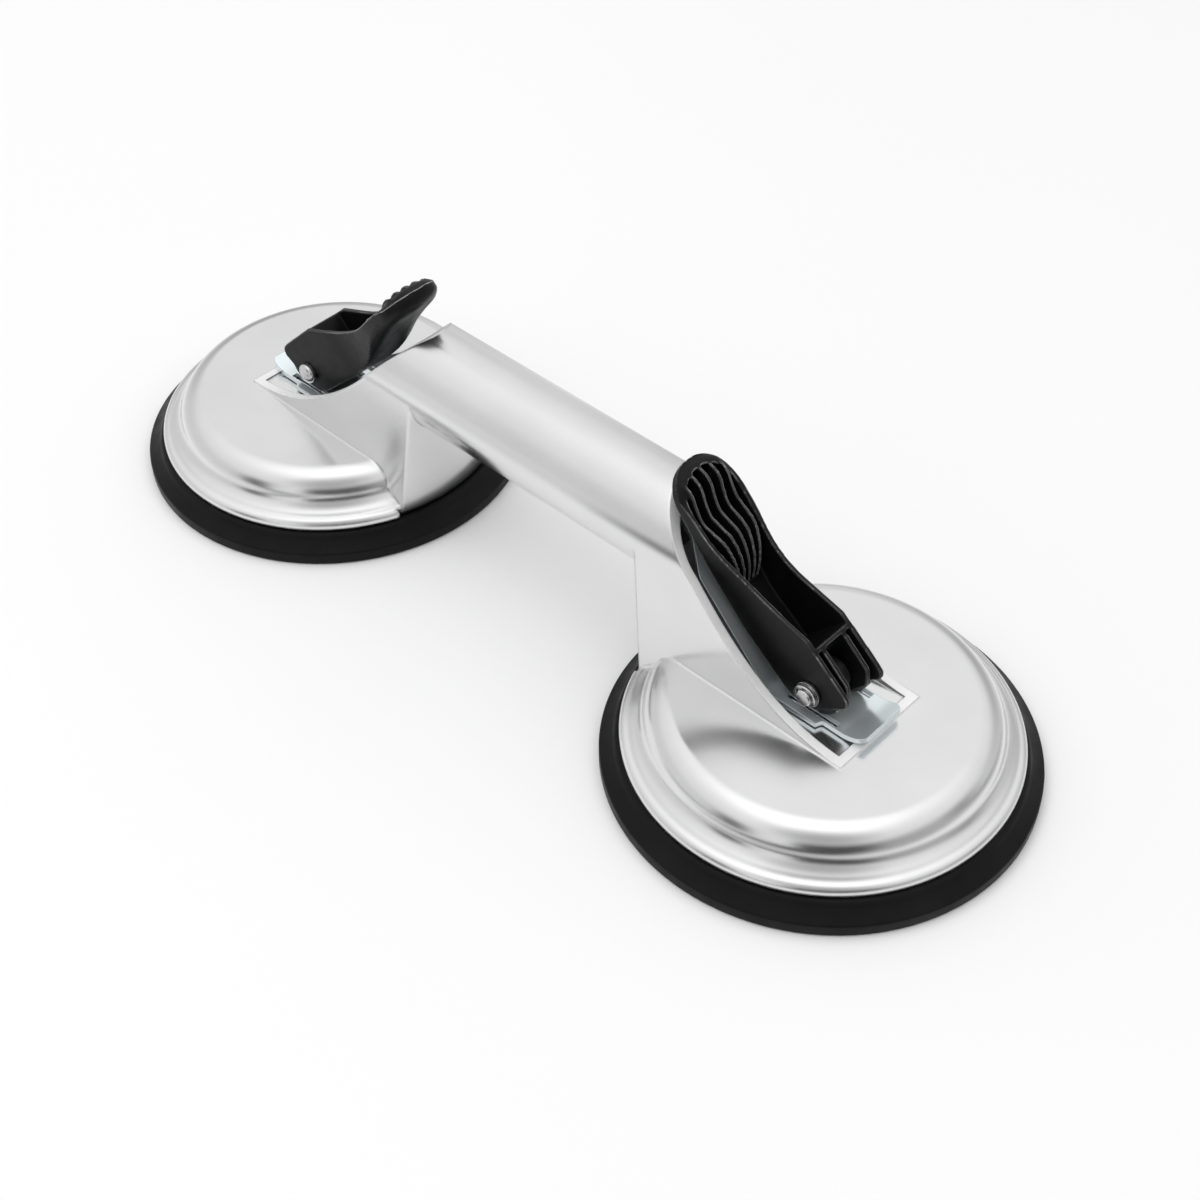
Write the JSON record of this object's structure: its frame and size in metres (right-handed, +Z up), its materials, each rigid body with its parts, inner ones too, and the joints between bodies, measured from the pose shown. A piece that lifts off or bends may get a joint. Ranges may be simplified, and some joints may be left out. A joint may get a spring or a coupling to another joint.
{
  "type": "double suction lifter",
  "caption": "Hand suction lifter: cast aluminium handle body with rubber suction cups, pull studs and black cam levers that raise the pads' middles.",
  "frame": {"origin": "on the ground under the middle of the handle, midway between the two cups", "axes": "+X along the handle towards the right cup, +Y across it, +Z up from the sealing faces"},
  "size_m": [0.3176, 0.12, 0.0814],
  "materials": {
    "polished_aluminium": "polished",
    "black_rubber": "matte",
    "black_plastic": "satin",
    "zinc_plate": "zinc plated",
    "bright_steel": "satin",
    "blackened_steel": "black oxide"
  },
  "bodies": {
    "housing": {"aluminium_body": "polished_aluminium", "rubber_pad_right": "black_rubber", "rubber_pad_left": "black_rubber", "wear_plate_right": "zinc_plate", "wear_plate_left": "zinc_plate", "return_spring_right": "bright_steel", "return_spring_left": "bright_steel"},
    "stud_assembly_right": {"pull_stud_right": "blackened_steel", "pad_plate_right": "bright_steel", "stud_nut_right": "bright_steel", "pivot_pin_right": "bright_steel", "pin_washer_right": "bright_steel", "pin_clip_right": "bright_steel"},
    "stud_assembly_left": {"pull_stud_left": "blackened_steel", "pad_plate_left": "bright_steel", "stud_nut_left": "bright_steel", "pivot_pin_left": "bright_steel", "pin_washer_left": "bright_steel", "pin_clip_left": "bright_steel"},
    "lever_right": {"cam_lever_right": "black_plastic"},
    "lever_left": {"cam_lever_left": "black_plastic"}
  },
  "joints": [
    {"name": "stud_lift_right", "type": "slide", "parent": "housing", "child": "stud_assembly_right", "axis": [0, 0, 1], "range_m": [0, 0.0059], "deforming": ["rubber_pad_right", "return_spring_right"]},
    {"name": "stud_lift_left", "type": "slide", "parent": "housing", "child": "stud_assembly_left", "axis": [0, 0, 1], "range_m": [0, 0.00568], "deforming": ["rubber_pad_left", "return_spring_left"]},
    {"name": "lever_turn_right", "type": "hinge", "parent": "stud_assembly_right", "child": "lever_right", "pos_m": [0.0988, 0, 0.031], "axis": [0, 1, 0], "range_deg": [0, 135]},
    {"name": "lever_turn_left", "type": "hinge", "parent": "stud_assembly_left", "child": "lever_left", "pos_m": [-0.0988, 0, 0.031], "axis": [0, -1, 0], "range_deg": [0, 130]}
  ],
  "couplings": [
    {"joint": "stud_lift_right", "follows": "lever_turn_right", "m_per_rad": 0.0025},
    {"joint": "stud_lift_left", "follows": "lever_turn_left", "m_per_rad": 0.0025}
  ]
}
